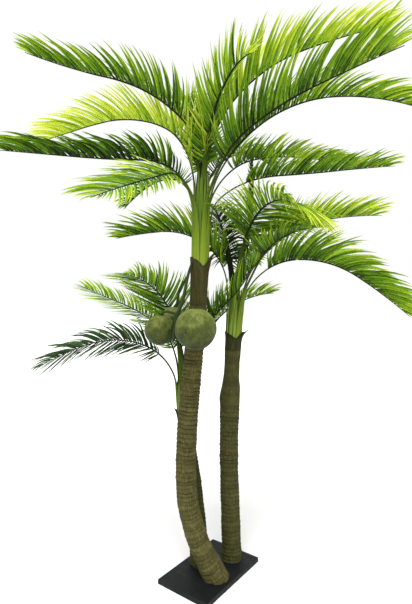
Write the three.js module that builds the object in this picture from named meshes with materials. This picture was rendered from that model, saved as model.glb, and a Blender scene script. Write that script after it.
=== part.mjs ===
// Artificial coconut palm: three stems of different heights on one black board, each with a boot,
// a green crownshaft and a crown of fronds, and three coconuts on stalks from the tallest.
// Millimetres. The origin is the middle of the board's underside, +X along its long side, +Z up.
import * as THREE from "three";

const GAP = 0.3; // between neighbouring solids
const SIDES = { trunk: 18, collar: 24, coconut: 20, fruitStalk: 10 }; // of the round pieces

const BOARD = { length: 390, width: 256, thick: 20, bevel: 1.5 };

// Each stem: its centreline from the board up, its radii along that line, the boot (a smooth collar
// with pointed husk lips: [direction, reach, height]) and the crownshaft above it.
const LIP_WIDTH = 40; // degrees from a lip's point to where it fades out
const BOOT = { levels: [0, 0.3, 0.6, 0.85], seatMargin: 2.5 };
const SHAFT = { levels: [0, 0.25, 0.5, 0.75, 1], ribs: 6, ribDepth: 1.2 };
const STEMS = {
  tall: {
    line: [[-32, -54, 20], [-46, -41, 62], [-80, 2, 170], [-108, 36, 330], [-114, 42, 540],
      [-106, 27, 800], [-91, 4, 1080], [-87, -1, 1170]],
    radii: [60, 54, 46, 43, 41, 40, 38, 36],
    boot: { top: [-82, -8, 1358], radius: 38, lips: [[307, 14, 26], [150, 5, 14]] },
    shaft: { top: [-80, -11, 1500], radius: 34 },
  },
  medium: {
    line: [[120, -32, 20], [122, -26, 200], [124, -17, 400], [128, -13, 560], [138, -15, 750],
      [146, -18, 900], [149, -21, 960]],
    radii: [42, 41, 40, 41, 44, 38, 38],
    boot: { top: [152, -25, 1037], radius: 39, lips: [[300, 22, 28], [140, 5, 14]] },
    shaft: { top: [155, -29, 1120], radius: 34 },
  },
  short: {
    line: [[0, 56, 20], [4, 66, 100], [8, 86, 240], [8, 112, 400], [5, 134, 520], [5, 139, 590]],
    radii: [42, 39, 38, 38, 38, 38],
    boot: { top: [5, 144, 672], radius: 39, lips: [[130, 14, 24], [10, 8, 16]] },
    shaft: { top: [3, 148, 740], radius: 34 },
  },
};

// Leaf stalks stand on the flat top of the crownshaft: an outer ring of wide ones and an inner ring
// of slim ones that rise higher before they bend out. bare is the length with no leaflets.
const RING = {
  outer: { radius: 25.5, half: 7.5, bare: 290 },
  inner: { radius: 9, half: 4.5, bare: 390 },
  centre: { radius: 0, half: 3.5, bare: 420 },
};

// Fronds: [name, ring, seat's direction, bearing, length, leans, half width, fold]. The leans are
// from the vertical, at LEAN_AT of the length; the fold is how far the two leaflet rows stand up.
const LEAN_AT = [0, 0.14, 0.28, 0.42, 0.7, 1];
const FRONDS = {
  tall: [
    ["upper_left", "inner", 190, 148, 1120, [0, 3, 5, 50, 88, 78], 105, 58],
    ["pale_left", "outer", 110, 103, 1262, [0, 3, 28, 64, 94, 96], 115, 50],
    ["low_left", "outer", 148, 157, 935, [0, 18, 65, 99, 95, 95], 110, 58],
    ["front_left", "outer", 188, 187, 765, [0, 37, 69, 113, 114, 116], 112, 40],
    ["top_right", "inner", 328, 302, 1320, [0, 5, 16, 39, 72, 81], 205, 62],
    ["front_right", "outer", 240, 264, 1040, [0, 28, 42, 69, 85, 88], 155, 58],
    ["long_right", "outer", 280, 294, 1170, [0, 20, 40, 56, 95, 118], 120, 58],
    ["mid_right", "outer", 318, 315, 1000, [0, 48, 68, 84, 82, 84], 100, 60],
    ["rear_right", "outer", 356, 335, 1060, [0, 28, 48, 72, 86, 88], 110, 58],
    ["front", "inner", 256, 240, 800, [0, 6, 12, 20, 64, 110], 115, 50],
    ["rear_left", "inner", 40, 50, 1000, [0, 2, 6, 30, 52, 70], 120, 55],
    ["rear_low", "outer", 34, 0, 900, [0, 14, 36, 54, 80, 100], 110, 58],
    ["rear_far", "outer", 72, 76, 830, [0, 24, 52, 76, 100, 112], 110, 58],
  ],
  medium: [
    ["droop_right", "outer", 287, 287, 950, [0, 34, 60, 90, 126, 134], 138, 58],
    ["pale_right", "outer", 330, 322, 1050, [0, 20, 44, 54, 80, 88], 110, 58],
    ["front_up", "inner", 235, 237, 900, [0, 12, 20, 44, 90, 134], 145, 45],
    ["front_low", "outer", 248, 262, 640, [0, 30, 32, 36, 74, 100], 118, 45],
    ["left", "outer", 120, 112, 870, [0, 5, 26, 52, 92, 100], 108, 55],
    ["rear_steep", "inner", 70, 57, 720, [0, 5, 20, 26, 34, 70], 105, 50],
    ["rear_right", "outer", 30, 20, 800, [0, 18, 42, 62, 92, 108], 110, 55],
    ["spear", "centre", 0, 332, 800, [0, 14, 12, 8, 2, -4], 45, 70],
  ],
  short: [
    ["left", "outer", 132, 132, 830, [0, 24, 50, 76, 110, 120], 112, 40],
    ["pale_left", "outer", 90, 112, 830, [0, 8, 20, 50, 70, 66], 90, 45],
    ["upper_left", "inner", 90, 87, 840, [0, 10, 9, 22, 60, 86], 115, 35],
    ["right", "outer", 279, 279, 730, [0, 2, 12, 38, 48, 26], 85, 60],
    ["rear_right", "outer", 335, 337, 790, [0, 18, 22, 36, 68, 88], 90, 55],
    ["rear", "inner", 330, 35, 700, [0, 6, 20, 40, 72, 96], 90, 55],
    ["rear_left", "outer", 45, 65, 680, [0, 4, 16, 44, 92, 120], 85, 55],
  ],
};
// A frond that leans past this arches right over, and its stalk is a piece of its own.
const ARCH = 95;

// Where the rings of a leaf stalk lie along it, and of a blade from its first leaflets to its tip:
// [share of the blade's length, half width as a share of the frond's own, keel thickness].
const STALK_AT = [0, 0.35, 0.7, 1];
const STALK = { keel: 9, rise: 0.25, firstLeafletsRise: 0.6, taper: 0.35 };
const OUTLINE = [
  [0, 0.06, 8.5], [0.08, 0.6, 8], [0.17, 0.88, 7.5], [0.27, 1, 7], [0.38, 0.98, 6.5],
  [0.5, 0.9, 6], [0.63, 0.78, 5], [0.76, 0.6, 4.5], [0.89, 0.36, 4], [1, 0.06, 3],
];

// Coconuts: middle, radius, half length, and the point on the fruit stalk that the neck reaches for.
const COCONUTS = {
  large: { middle: [-194, -73, 1074], radius: 84, half: 84, to: [-203, 29, 1062], neck: 10.3 },
  small: { middle: [-199, 115, 1064], radius: 69, half: 64, to: [-203, 31, 1060], neck: 11.2 },
  rear: { middle: [-80, 142, 1104], radius: 58, half: 60, to: [-82, 118, 1190], neck: 10 },
};
const NECK = { baseRadius: 9, endRadius: 7, baseAt: 0.4 };
const FRUIT_STALKS = {
  fruit_stalk: {
    line: [[-124.8, 4, 1345], [-140, 11, 1290], [-168, 15, 1190], [-190, 24, 1130],
      [-204, 31, 1060], [-206, 32, 1030]],
    radii: [5, 6, 7, 8, 9, 8],
  },
  fruit_stalk_rear: {
    line: [[-84, 35.2, 1340], [-85, 60, 1292], [-83.1, 104.4, 1238.8], [-82.2, 115.1, 1200.3],
      [-81.6, 123.1, 1171.8]],
    radii: [5, 5, 5.5, 6, 6],
  },
};

const FINISH = {
  board: { color: 0x24282a, roughness: 0.75 },
  trunk: { color: 0x6a6234, roughness: 0.85 },
  boot: { color: 0x5a4a28, roughness: 0.85 },
  shaft: { color: 0x76852a, roughness: 0.6 },
  frond: { color: 0x4c7a1c, roughness: 0.55 },
  coconut: { color: 0x70803f, roughness: 0.6 },
  stalk: { color: 0x2f4620, roughness: 0.6 },
};

const { degToRad: rad, radToDeg: deg } = THREE.MathUtils;
const vec = (p) => new THREE.Vector3(...p);

// The value at x on the broken line through (xs, ys).
function between(x, xs, ys) {
  const k = Math.max(1, xs.findIndex((v) => v >= x));
  const t = (x - xs[k - 1]) / (xs[k] - xs[k - 1]);
  return ys[k - 1] + (ys[k] - ys[k - 1]) * t;
}

// A smooth line through the points, and a function that reads a value given at each of them.
function smoothLine(line, values) {
  const curve = new THREE.CatmullRomCurve3(line.map(vec), false, "centripetal");
  const at = line.map((_, i) => i / (line.length - 1));
  return [curve, (t) => between(t, at, values)];
}

// A closed body through rings of equally many points, each end closed by a fan about its middle.
// The diagonals turn with every side, so the two faces of a thin blade fold along the same lines.
function loft(rings) {
  const n = rings[0].length;
  const middle = (ring) => ring.reduce((m, p) => m.add(p), new THREE.Vector3()).divideScalar(n);
  const points = [...rings.flat(), middle(rings[0]), middle(rings.at(-1))];
  const [lowMiddle, highMiddle] = [points.length - 2, points.length - 1];
  const highRing = (rings.length - 1) * n;
  const index = [];
  for (let i = 0; i < n; i++) {
    const j = (i + 1) % n;
    const [low, high] = i % 2 ? [j, i + n] : [i, j + n];
    for (let at = 0; at < highRing; at += n) {
      index.push(at + i, at + j, at + high);
      index.push(at + low, at + j + n, at + i + n);
    }
    index.push(lowMiddle, j, i, highMiddle, highRing + i, highRing + j);
  }
  return new THREE.BufferGeometry().setFromPoints(points).setIndex(index).toNonIndexed();
}

// A level ring about a point; the radius may be a function of the angle.
function circle(centre, radius, sides) {
  return Array.from({ length: sides }, (_, i) => {
    const a = (2 * Math.PI * i) / sides;
    const r = typeof radius === "function" ? radius(a) : radius;
    return new THREE.Vector3(r * Math.cos(a), r * Math.sin(a), 0).add(centre);
  });
}

// The board: flat below, with a small bevel round its upper edge.
function boardGeometry({ length, width, thick, bevel }) {
  const rectangle = (cut, z) => {
    const [x, y] = [length / 2 - cut, width / 2 - cut];
    return [[x, y, z], [-x, y, z], [-x, -y, z], [x, -y, z]].map(vec);
  };
  return loft([rectangle(0, 0), rectangle(0, thick - bevel), rectangle(bevel, thick)]);
}

// A trunk: level rings along a smooth line, its foot flat on the board.
function trunkGeometry({ line, radii }) {
  const [curve, radiusAt] = smoothLine(line, radii);
  const steps = 3 * (line.length - 1);
  const rings = [];
  for (let k = 0; k <= steps; k++) {
    const p = curve.getPoint(k / steps);
    if (k === 0) p.z += GAP;
    rings.push(circle(p, radiusAt(k / steps), SIDES.trunk));
  }
  return loft(rings);
}

// How near angle a is to a lip's direction: 1 on it and 0 beyond LIP_WIDTH.
function nearness(a, direction) {
  const turn = Math.abs(deg(a) - direction) % 360;
  return Math.max(0, 1 - Math.min(turn, 360 - turn) / LIP_WIDTH) ** 1.5;
}

// The boot: a collar whose rim stands out in pointed husk lips round a flat seat.
function bootGeometry({ line, radii, boot, shaft }) {
  const low = vec(line.at(-1));
  const top = vec(boot.top);
  low.z += GAP;
  const rings = BOOT.levels.map((t) => {
    const radius = THREE.MathUtils.lerp(radii.at(-1), boot.radius, t);
    return circle(low.clone().lerp(top, t), radius, SIDES.collar);
  });
  const atAngle = (a, k) => boot.lips.reduce((sum, lip) => sum + lip[k] * nearness(a, lip[0]), 0);
  const rim = circle(top, (a) => boot.radius + atAngle(a, 1), SIDES.collar);
  rim.forEach((p, i) => (p.z += atAngle((2 * Math.PI * i) / SIDES.collar, 2)));
  const seat = circle(top, shaft.radius + BOOT.seatMargin, SIDES.collar);
  return loft([...rings, rim, seat]);
}

// The crownshaft: sheathing leaf bases, softly ribbed, up to the flat seat of the leaf stalks.
function shaftGeometry({ boot, shaft }) {
  const low = vec(boot.top);
  const top = vec(shaft.top);
  low.z += GAP;
  return loft(SHAFT.levels.map((t) => {
    const rib = SHAFT.ribDepth * Math.sin(Math.PI * t);
    const radius = (a) => shaft.radius - rib + rib * Math.cos(SHAFT.ribs * a);
    return circle(low.clone().lerp(top, t), radius, SIDES.collar);
  }));
}

// The rings of a frond, which rises from its origin and bends towards +X: left edge, upper keel,
// right edge and lower keel. The first STALK_AT.length rings are the bare stalk.
function frondRings(ringName, length, leans, half, fold) {
  const stalkHalf = RING[ringName].half;
  const bare = RING[ringName].bare / length;
  const riseAt = (t) => (t > 0 ? 1 : STALK.firstLeafletsRise);
  const stations = [
    ...STALK_AT.slice(0, -1).map((t) => [t * bare, 0, STALK.keel, STALK.rise]),
    ...OUTLINE.map(([t, wide, keel]) => [bare + t * (1 - bare), wide, keel, riseAt(t)]),
  ];
  const fine = 8; // steps of the centreline between two rings
  let [x, z, done] = [0, 0, 0];
  return stations.map(([share, wide, keel, rise]) => {
    for (let k = 0; k < fine && share > 0; k++) {
      const step = (share - done) / fine;
      const lean = rad(between(done + step * (k + 0.5), LEAN_AT, leans));
      x += Math.sin(lean) * step * length;
      z += Math.cos(lean) * step * length;
    }
    done = share;
    const lean = rad(between(share, LEAN_AT, leans));
    const at = (y, up) => new THREE.Vector3(x - up * Math.cos(lean), y, z + up * Math.sin(lean));
    const slim = stalkHalf * (1 - STALK.taper * Math.min(1, share / bare)) * (1 - share / 2);
    const w = Math.max(slim, wide * half);
    const thick = Math.min(keel / 2, slim);
    const f = rad(fold * rise);
    const [reach, height] = [w * Math.cos(f), w * Math.sin(f)];
    return [at(reach, height), at(0, thick), at(-reach, height), at(0, -thick)];
  });
}

// The same ring moved a gap further along the frond, which lies in its XZ plane.
function movedOn(ring, gap) {
  const up = ring[1].clone().sub(ring[3]).normalize();
  const along = new THREE.Vector3(up.z, 0, -up.x).multiplyScalar(gap);
  return ring.map((p) => p.clone().add(along));
}

// A coconut: egg-shaped along Y, with a short neck at its upper end.
function coconutGeometry({ radius, half, neck }) {
  const profile = [new THREE.Vector2(0, -half)];
  for (let a = -75; a <= 75; a += 15)
    profile.push(new THREE.Vector2(radius * Math.cos(rad(a)), half * Math.sin(rad(a))));
  profile.push(new THREE.Vector2(NECK.baseRadius, half + neck * NECK.baseAt));
  profile.push(new THREE.Vector2(NECK.endRadius, half + neck), new THREE.Vector2(0, half + neck));
  return new THREE.LatheGeometry(profile, SIDES.coconut);
}

// A fruit stalk: a round arm that thickens from the boot down to the coconuts.
function fruitStalkGeometry({ line, radii }) {
  const [curve, radiusAt] = smoothLine(line, radii);
  const steps = 2 * (line.length - 1);
  const rings = [];
  for (let k = steps; k >= 0; k--) {
    const turn = new THREE.Quaternion();
    turn.setFromUnitVectors(new THREE.Vector3(0, 0, 1), curve.getTangent(k / steps).negate());
    const ring = circle(new THREE.Vector3(), radiusAt(k / steps), SIDES.fruitStalk);
    rings.push(ring.map((p) => p.applyQuaternion(turn).add(curve.getPoint(k / steps))));
  }
  return loft(rings);
}

function piece(name, geometry, finish) {
  geometry.computeVertexNormals();
  const mesh = new THREE.Mesh(geometry, new THREE.MeshStandardMaterial(finish));
  mesh.name = name;
  return mesh;
}

// One frond of a crown, as one mesh, or as stalk and blade if it arches right over.
function frond(crownName, [name, ringName, seat, bearing, length, leans, half, fold]) {
  const holder = new THREE.Group();
  const out = RING[ringName].radius;
  holder.position.set(out * Math.cos(rad(seat)), out * Math.sin(rad(seat)), 0);
  holder.rotation.z = rad(bearing);
  const rings = frondRings(ringName, length, leans, half, fold);
  const last = STALK_AT.length;
  const full = `${crownName}_${name}`;
  if (Math.max(...leans) < ARCH) {
    holder.add(piece(`frond_${full}`, loft(rings), FINISH.frond));
  } else {
    const blade = [movedOn(rings[last - 1], GAP), ...rings.slice(last)];
    holder.add(piece(`petiole_${full}`, loft(rings.slice(0, last)), FINISH.frond));
    holder.add(piece(`frond_${full}`, loft(blade), FINISH.frond));
  }
  return holder;
}

const palm = new THREE.Group();
palm.add(piece("base_board", boardGeometry(BOARD), FINISH.board));
for (const [name, stem] of Object.entries(STEMS)) {
  palm.add(piece(`trunk_${name}`, trunkGeometry(stem), FINISH.trunk));
  palm.add(piece(`boot_${name}`, bootGeometry(stem), FINISH.boot));
  palm.add(piece(`crownshaft_${name}`, shaftGeometry(stem), FINISH.shaft));
  const crown = new THREE.Group();
  crown.position.copy(vec(stem.shaft.top));
  crown.position.z += GAP;
  for (const row of FRONDS[name]) crown.add(frond(name, row));
  palm.add(crown);
}
for (const [name, coconut] of Object.entries(COCONUTS)) {
  const nut = piece(`coconut_${name}`, coconutGeometry(coconut), FINISH.coconut);
  const middle = vec(coconut.middle);
  nut.position.copy(middle);
  const axis = vec(coconut.to).sub(middle).normalize();
  nut.quaternion.setFromUnitVectors(new THREE.Vector3(0, 1, 0), axis);
  palm.add(nut);
}
for (const [name, stalk] of Object.entries(FRUIT_STALKS))
  palm.add(piece(name, fruitStalkGeometry(stalk), FINISH.stalk));

export default palm;
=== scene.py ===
"""Looks of the artificial coconut palm: three stems on a black board, in metres, in the CAD frame.

Stems, boots, crownshafts, fronds, coconuts and fruit stalks are rebuilt in detail on the lines that
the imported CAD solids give. Everything random comes from seeded draws.
"""
import math

import bpy
import numpy as np
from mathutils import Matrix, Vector, noise


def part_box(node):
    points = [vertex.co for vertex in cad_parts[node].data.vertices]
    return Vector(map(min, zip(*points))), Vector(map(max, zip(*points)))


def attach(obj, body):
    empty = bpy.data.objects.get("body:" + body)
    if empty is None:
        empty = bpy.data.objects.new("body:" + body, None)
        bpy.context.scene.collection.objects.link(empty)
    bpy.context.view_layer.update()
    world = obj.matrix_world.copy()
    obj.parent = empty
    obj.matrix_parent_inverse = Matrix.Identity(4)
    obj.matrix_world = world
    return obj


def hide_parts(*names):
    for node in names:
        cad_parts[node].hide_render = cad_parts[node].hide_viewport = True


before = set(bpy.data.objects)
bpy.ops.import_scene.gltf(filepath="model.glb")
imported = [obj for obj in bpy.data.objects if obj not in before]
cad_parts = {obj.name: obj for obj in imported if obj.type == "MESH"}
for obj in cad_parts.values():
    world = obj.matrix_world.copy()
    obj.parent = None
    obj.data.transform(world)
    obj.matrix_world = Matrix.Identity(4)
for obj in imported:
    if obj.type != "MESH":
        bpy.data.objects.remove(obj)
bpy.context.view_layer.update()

MAP = "OFBake"  # the UV map that a bake of the piece's colours goes through
GRAIN = "grain"  # a piece's own straightened coordinates, in metres: across, across, along
MARKS = "marks"  # two numbers for each point, which the materials read
UP = np.array([0.0, 0.0, 1.0])


# ---------------------------------------------------------------- small helpers

def rad(degrees):
    return math.radians(degrees)


def unit(v):
    v = np.asarray(v, float)
    return v / np.maximum(np.linalg.norm(v, axis=-1, keepdims=True), 1e-12)


def srgb(code):
    """A screen colour such as "5a6b2c" as linear red, green and blue."""
    parts = [int(code[i:i + 2], 16) / 255 for i in (0, 2, 4)]
    return [c / 12.92 if c <= 0.04045 else ((c + 0.055) / 1.055) ** 2.4 for c in parts]


def ramp(x, table):
    """The value at x on the broken line through table's (x, y) pairs."""
    xs, ys = zip(*table)
    return np.interp(x, xs, ys)


def smooth_line(at, xs, ys):
    """Points at the places at on a smooth curve through ys, which is given at xs."""
    xs, ys, at = np.asarray(xs, float), np.asarray(ys, float), np.asarray(at, float)
    slope = np.gradient(ys, xs, axis=0)
    k = np.clip(np.searchsorted(xs, at) - 1, 0, len(xs) - 2)
    h = xs[k + 1] - xs[k]
    t = (at - xs[k]) / h
    if ys.ndim > 1:
        h, t = h[:, None], t[:, None]
    a, b = ys[k], ys[k + 1]
    near, far = slope[k] * h, slope[k + 1] * h
    return (a * (2 * t**3 - 3 * t**2 + 1) + near * (t**3 - 2 * t**2 + t)
            + b * (3 * t**2 - 2 * t**3) + far * (t**3 - t**2))


def lengths(line):
    """The length along a line at each of its points."""
    return np.concatenate([[0], np.cumsum(np.linalg.norm(np.diff(line, axis=0), axis=1))])


def wobble(points, scale, seed=0.0):
    """Smooth noise from -1 to 1 at each point, with features about 1 / scale across."""
    shift = Vector((seed * 17.3, seed * 5.1, seed * 9.7))
    flat = points.reshape(-1, 3) * scale
    return np.array([noise.noise(Vector(p) + shift) for p in flat]).reshape(points.shape[:-1])


# ---------------------------------------------------------------- meshes

class Sheets:
    """Gathers grids of points, and makes them one piece."""

    def __init__(self):
        self.points, self.quads, self.slots, self.grain, self.marks = [], [], [], [], []
        self.places, self.count, self.cells = [], 0, 0

    def add(self, points, slots=0, grain=None, marks=None, wrap=False):
        """A grid of rows and columns. slots is its material, or one for each face. wrap joins the
        last column to the first."""
        rows, cols = points.shape[:2]
        number = np.arange(rows * cols).reshape(rows, cols) + self.count
        across = cols if wrap else cols - 1
        j, k = np.arange(across), (np.arange(across) + 1) % cols
        quads = np.stack([number[:-1, j], number[:-1, k], number[1:, k], number[1:, j]], -1)
        self.points.append(points.reshape(-1, 3))
        self.quads.append(quads.reshape(-1, 4))
        self.slots.append(np.broadcast_to(slots, quads.shape[:2]).ravel())
        grain = points if grain is None else grain
        self.grain.append(grain.reshape(-1, 3))
        marks = np.zeros((rows, cols, 2)) if marks is None else marks
        self.marks.append(marks.reshape(-1, 2))
        u, v = np.meshgrid(np.arange(across) / across, np.arange(rows - 1) / (rows - 1))
        du, dv = 1 / across, 1 / (rows - 1)
        corners = [(u, v), (u + du, v), (u + du, v + dv), (u, v + dv)]
        uv = np.stack([np.stack(c, -1) for c in corners], 2).reshape(-1, 4, 2)
        self.places.append((self.cells, uv))
        self.cells += 1
        self.count += rows * cols

    def strips(self):
        """The map where each grid has a strip of its own."""
        margin = 0.06  # left bare at each side of a strip, as a share of its width
        out = []
        for cell, uv in self.places:
            across = (cell + margin + (1 - 2 * margin) * uv[..., 0]) / self.cells
            out.append(np.stack([across, 0.01 + 0.98 * uv[..., 1]], -1))
        return np.concatenate(out)

    def swatches(self, count):
        """The map where every face of one material lies on that material's own square."""
        side = math.ceil(math.sqrt(count))
        slot = np.concatenate(self.slots)
        corner = np.stack([slot % side, slot // side], -1)[:, None]
        square = np.array([(0.2, 0.2), (0.8, 0.2), (0.8, 0.8), (0.2, 0.8)])
        return (corner + square) / side

    def piece(self, name, materials, slot, replaces=(), swatches=False):
        points, quads = np.concatenate(self.points), np.concatenate(self.quads)
        mesh = bpy.data.meshes.new(name)
        mesh.vertices.add(len(points))
        mesh.vertices.foreach_set("co", points.astype(np.float32).ravel())
        mesh.loops.add(quads.size)
        mesh.loops.foreach_set("vertex_index", quads.astype(np.int32).ravel())
        mesh.polygons.add(len(quads))
        mesh.polygons.foreach_set("loop_start", np.arange(len(quads), dtype=np.int32) * 4)
        mesh.polygons.foreach_set("material_index", np.concatenate(self.slots).astype(np.int32))
        mesh.polygons.foreach_set("use_smooth", np.ones(len(quads), bool))
        for material in materials:
            mesh.materials.append(material)
        places = self.swatches(len(materials)) if swatches else self.strips()
        mesh.uv_layers.new(name=MAP).data.foreach_set("uv", places.astype(np.float32).ravel())
        if not swatches:
            pairs = np.concatenate(self.marks)
            marks = np.column_stack([pairs, np.zeros(len(pairs))])
            for label, values in ((GRAIN, np.concatenate(self.grain)), (MARKS, marks)):
                data = mesh.attributes.new(label, "FLOAT_VECTOR", "POINT").data
                data.foreach_set("vector", values.astype(np.float32).ravel())
        mesh.update(calc_edges=True)
        mesh.validate()
        made = bpy.data.objects.new(name, mesh)
        bpy.context.scene.collection.objects.link(made)
        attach(made, "root")
        if replaces:
            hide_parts(*replaces)
        return made


def tube(sheets, line, radius, side, around=12):
    """A round tapering arm along line. side is roughly its across direction at each point."""
    tangent = unit(np.gradient(line, axis=0))
    side = unit(side - (side * tangent).sum(-1, keepdims=True) * tangent)
    up = np.cross(tangent, side)
    turn = np.linspace(0, 2 * np.pi, around, endpoint=False)
    x, y = radius[:, None] * np.cos(turn), radius[:, None] * np.sin(turn)
    points = line[:, None] + x[..., None] * side[:, None] + y[..., None] * up[:, None]
    along = lengths(line)[:, None]
    grain = np.stack(np.broadcast_arrays(x, y, along), -1)
    marks = np.stack(np.broadcast_arrays(along / along[-1], np.sin(turn)), -1)
    sheets.add(points, 0, grain, marks, wrap=True)


# ---------------------------------------------------------------- what the CAD solids say

def solid_points(node):
    """A CAD node's corners, each once, and the neighbours of each."""
    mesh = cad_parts[node].data
    co = np.array([v.co for v in mesh.vertices])
    _, first, number = np.unique(np.round(co, 5), axis=0, return_index=True, return_inverse=True)
    number = number.ravel()
    near = [set() for _ in first]
    for face in mesh.polygons:
        ring = [int(number[i]) for i in face.vertices]
        for a, b in zip(ring, ring[1:] + ring[:1]):
            near[a].add(b)
            near[b].add(a)
    return co[first], near


def solid_rings(node, start):
    """The rings of four corners that a frond's solid is lofted through, from the end near start."""
    co, near = solid_points(node)
    ends = [i for i, n in enumerate(near)
            if len(n) == 4 and np.linalg.norm(co[i] - co[sorted(n)].mean(0)) < 1e-4]
    middle = min(ends, key=lambda i: np.linalg.norm(co[i] - start))
    seen, ring, rings = {middle}, near[middle], []
    while len(ring) == 4:
        rings.append(co[sorted(ring)])
        seen |= ring
        ring = set().union(*(near[i] for i in ring)) - seen
        if len(ring) == 5:  # the last ring, with the middle of its fan
            centre = co[sorted(ring)].mean(0)
            ring -= {min(ring, key=lambda i: np.linalg.norm(co[i] - centre))}
    return np.array(rings)


def level_rings(node):
    """Middle and radius of each level ring of an upright CAD solid, from the lowest up."""
    co, _ = solid_points(node)
    found = []
    for z in np.unique(np.round(co[:, 2], 4)):
        ring = co[np.abs(co[:, 2] - z) < 1e-4]
        if len(ring) >= 12:  # fewer corners are not a whole ring
            middle = ring.mean(0)
            reach = np.linalg.norm(ring[:, :2] - middle[:2], axis=1)
            found.append((middle, reach[reach > 0.5 * reach.max()].mean()))
    middles, radii = zip(*found)
    return np.array(middles), np.array(radii)


# How far the looks move a rib from its CAD line, at shares of its length: outward, in metres.
NUDGES = {"medium_spear": [(0.2, 0), (0.6, 0.02), (1, 0.02)]}


class Frond:
    """The line, the widths and the fold of one frond, from its CAD solids."""

    def __init__(self, name, start):
        stalk, blade = f"petiole_{name}", f"frond_{name}"
        rings = solid_rings(blade, start)
        self.nodes = [blade]
        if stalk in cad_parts:
            first = solid_rings(stalk, start)
            rings = np.concatenate([first, rings[1:]])
            self.nodes.append(stalk)
        middles = rings.mean(1)
        out = middles[:, :2] - middles[0, :2]
        out = out[np.linalg.norm(out, axis=1).argmax()]
        self.bearing = math.atan2(out[1], out[0])
        self.side = np.array([-math.sin(self.bearing), math.cos(self.bearing), 0])
        tangent = unit(np.gradient(middles, axis=0))
        up = np.cross(tangent, self.side)
        keel, wide, fold = [], [], []
        for ring, u in zip(rings, up):
            ring = ring[np.argsort(ring @ self.side)]
            mid = ring[1:3].mean(0)
            edge = (ring[3] - ring[0]) / 2
            lift = ((ring[3] + ring[0]) / 2 - mid) @ u
            keel.append(mid)
            wide.append(math.hypot(np.linalg.norm(edge), lift))
            fold.append(math.atan2(lift, np.linalg.norm(edge)))
        self.keel, self.wide, self.fold = np.array(keel), np.array(wide), np.array(fold)
        self.along = lengths(self.keel)
        if name in NUDGES:
            share = self.along / self.along[-1]
            ahead = np.array([math.cos(self.bearing), math.sin(self.bearing), 0])
            self.keel = self.keel + ramp(share, NUDGES[name])[:, None] * ahead
            self.along = lengths(self.keel)
        self.bare = self.along[3]  # the bare stalk ends at the fourth ring
        self.length = self.along[-1]
        self.half = self.wide.max()

    def at(self, s):
        """Place, tangent and upward direction at the lengths s along the frond."""
        step = 0.002
        places = smooth_line(s, self.along, self.keel)
        ahead = smooth_line(np.minimum(s + step, self.length), self.along, self.keel)
        behind = smooth_line(np.maximum(s - step, 0), self.along, self.keel)
        tangent = unit(ahead - behind)
        return places, tangent, np.cross(tangent, self.side)


# ---------------------------------------------------------------- materials

def new_material(name, roughness, **constants):
    material = bpy.data.materials.new(name)
    material.use_nodes = True
    shader = material.node_tree.nodes["Principled BSDF"]
    shader.inputs["Roughness"].default_value = roughness
    for socket, value in constants.items():
        shader.inputs[socket.replace("_", " ")].default_value = value
    return material, material.node_tree, shader


def node(tree, kind, **settings):
    made = tree.nodes.new("ShaderNode" + kind)
    for key, value in settings.items():
        if hasattr(made, key):
            setattr(made, key, value)
        else:
            made.inputs[key.replace("_", " ")].default_value = value
    return made


def pattern(tree, scale, stretch=(1, 1, 1), detail=4.0, rough=0.6, source=GRAIN):
    """A noise value over the piece's grain, or over its Object coordinates if source is None."""
    if source:
        place = node(tree, "Attribute", attribute_name=source).outputs["Vector"]
    else:
        place = node(tree, "TexCoord").outputs["Object"]
    fit = node(tree, "Mapping")
    fit.inputs["Scale"].default_value = [scale * s for s in stretch]
    tree.links.new(place, fit.inputs["Vector"])
    made = node(tree, "TexNoise", Scale=1.0, Detail=detail, Roughness=rough)
    tree.links.new(fit.outputs["Vector"], made.inputs["Vector"])
    return made.outputs["Fac"]


def colours(tree, value, stops):
    """The colours of stops, (place, code) pairs, by value."""
    made = node(tree, "ValToRGB")
    elements = made.color_ramp.elements
    while len(elements) < len(stops):
        elements.new(0.5)
    for element, (place, code) in zip(elements, stops):
        element.position = place
        element.color = (*srgb(code), 1)
    tree.links.new(value, made.inputs["Fac"])
    return made.outputs["Color"]


def blend(tree, share, a, b):
    """Colours a and b mixed by share, each a socket, a code or a plain value."""
    made = node(tree, "Mix", data_type="RGBA")
    for value, socket in ((share, made.inputs[0]), (a, made.inputs[6]), (b, made.inputs[7])):
        if isinstance(value, bpy.types.NodeSocket):
            tree.links.new(value, socket)
        elif isinstance(value, str):
            socket.default_value = (*srgb(value), 1)
        else:
            socket.default_value = value
    return made.outputs[2]


def maths(tree, operation, a, b=0.0, clamp=False):
    made = node(tree, "Math", operation=operation, use_clamp=clamp)
    for value, socket in ((a, made.inputs[0]), (b, made.inputs[1])):
        if isinstance(value, bpy.types.NodeSocket):
            tree.links.new(value, socket)
        else:
            socket.default_value = value
    return made.outputs[0]


def mark(tree, which):
    """The first or second of a point's own two numbers."""
    source = node(tree, "Attribute", attribute_name=MARKS).outputs["Vector"]
    split = node(tree, "SeparateXYZ")
    tree.links.new(source, split.inputs[0])
    return split.outputs[which]


def bump(tree, shader, height, distance, strength=1.0):
    made = node(tree, "Bump", Strength=strength, Distance=distance)
    tree.links.new(height, made.inputs["Height"])
    tree.links.new(made.outputs["Normal"], shader.inputs["Normal"])


def spread(tree, value, low, high, to_low=0.0, to_high=1.0):
    made = node(tree, "MapRange")
    for socket, number in zip(("From Min", "From Max", "To Min", "To Max"),
                              (low, high, to_low, to_high)):
        made.inputs[socket].default_value = number
    tree.links.new(value, made.inputs["Value"])
    return made.outputs["Result"]


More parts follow.
